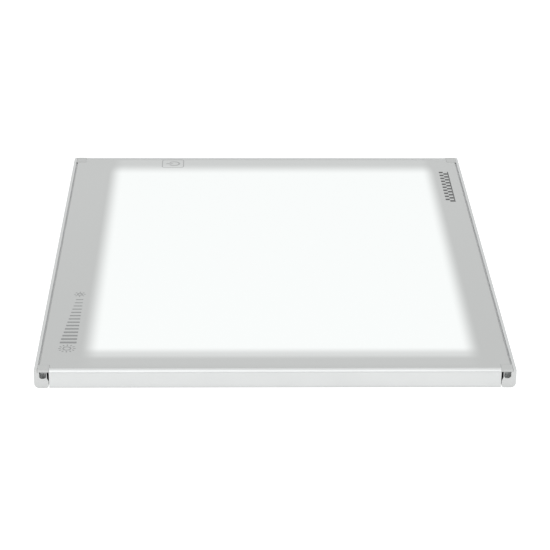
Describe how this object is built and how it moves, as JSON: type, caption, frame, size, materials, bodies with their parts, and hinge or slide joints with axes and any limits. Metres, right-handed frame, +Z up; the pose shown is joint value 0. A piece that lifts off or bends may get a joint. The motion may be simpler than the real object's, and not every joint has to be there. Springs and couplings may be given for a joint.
{
  "type": "light box",
  "caption": "Slim rectangular tracing light box: aluminium frame around an opal top sheet lit from its edges, on low rubber feet.",
  "frame": {"origin": "centre of the footprint, on the surface that the four feet rest on", "axes": "+X to the user's right, +Y from the front edge to the rear edge, +Z up through the lit face"},
  "size_m": [0.282, 0.35, 0.0127],
  "materials": {
    "frame_metal": "fine satin, clear anodised extrusion",
    "top_opal": "opal acrylic with a fine matt upper face",
    "corner_cap": "satin light grey moulding",
    "border_film": "matt grey opaque film",
    "lit_film": "milky diffuser film, lit from behind",
    "white_film": "bright white reflector film",
    "clear_guide": "polished clear acrylic",
    "support_board": "matt white foamed board",
    "grey_tape": "soft grey heat-conducting tape",
    "led_board": "white solder mask with pale yellow LEDs",
    "circuit_board": "green solder mask with mounted parts",
    "sensor_copper": "etched copper pad",
    "black_moulding": "black glass-filled moulding",
    "contact_metal": "bright nickel plate",
    "zinc_steel": "bright zinc plate",
    "cover_plastic": "light grey moulding with a fine spark-eroded texture",
    "foot_rubber": "matt dark grey rubber",
    "wire_red": "satin PVC insulation",
    "wire_black": "satin PVC insulation",
    "wire_white": "satin PVC insulation"
  },
  "bodies": {
    "root": {"left_rail": "frame_metal", "right_rail": "frame_metal", "front_bar": "frame_metal", "rear_bar": "frame_metal", "corner_bracket_front_left": "zinc_steel", "corner_screw_rail_front_left": "zinc_steel", "corner_screw_bar_front_left": "zinc_steel", "corner_bracket_front_right": "zinc_steel", "corner_screw_rail_front_right": "zinc_steel", "corner_screw_bar_front_right": "zinc_steel", "corner_bracket_rear_left": "zinc_steel", "corner_screw_rail_rear_left": "zinc_steel", "corner_screw_bar_rear_left": "zinc_steel", "corner_bracket_rear_right": "zinc_steel", "corner_screw_rail_rear_right": "zinc_steel", "corner_screw_bar_rear_right": "zinc_steel", "top_sheet": "top_opal", "border_mask": "border_film", "corner_cap_front_left": "corner_cap", "corner_cap_front_right": "corner_cap", "corner_cap_rear_left": "corner_cap", "corner_cap_rear_right": "corner_cap", "reflector_sheet": "white_film", "light_guide_plate": "clear_guide", "diffuser_film": "lit_film", "led_strip_left": "led_board", "thermal_tape_left": "grey_tape", "heat_spreader_left": "frame_metal", "led_strip_right": "led_board", "thermal_tape_right": "grey_tape", "heat_spreader_right": "frame_metal", "support_board": "support_board", "control_board": "circuit_board", "touch_sensor": "sensor_copper", "power_socket": "black_moulding", "socket_pin": "contact_metal", "led_wire_left_red": "wire_red", "led_wire_right_red": "wire_red", "power_wire_red": "wire_red", "led_wire_left_black": "wire_black", "led_wire_right_black": "wire_black", "power_wire_black": "wire_black", "touch_wire": "wire_white", "back_cover": "cover_plastic", "cover_screw_1": "zinc_steel", "cover_screw_2": "zinc_steel", "cover_screw_3": "zinc_steel", "cover_screw_4": "zinc_steel", "cover_screw_5": "zinc_steel", "cover_screw_6": "zinc_steel", "cover_screw_7": "zinc_steel", "cover_screw_8": "zinc_steel", "foot_front_left": "foot_rubber", "foot_front_right": "foot_rubber", "foot_rear_left": "foot_rubber", "foot_rear_right": "foot_rubber"}
  },
  "joints": []
}
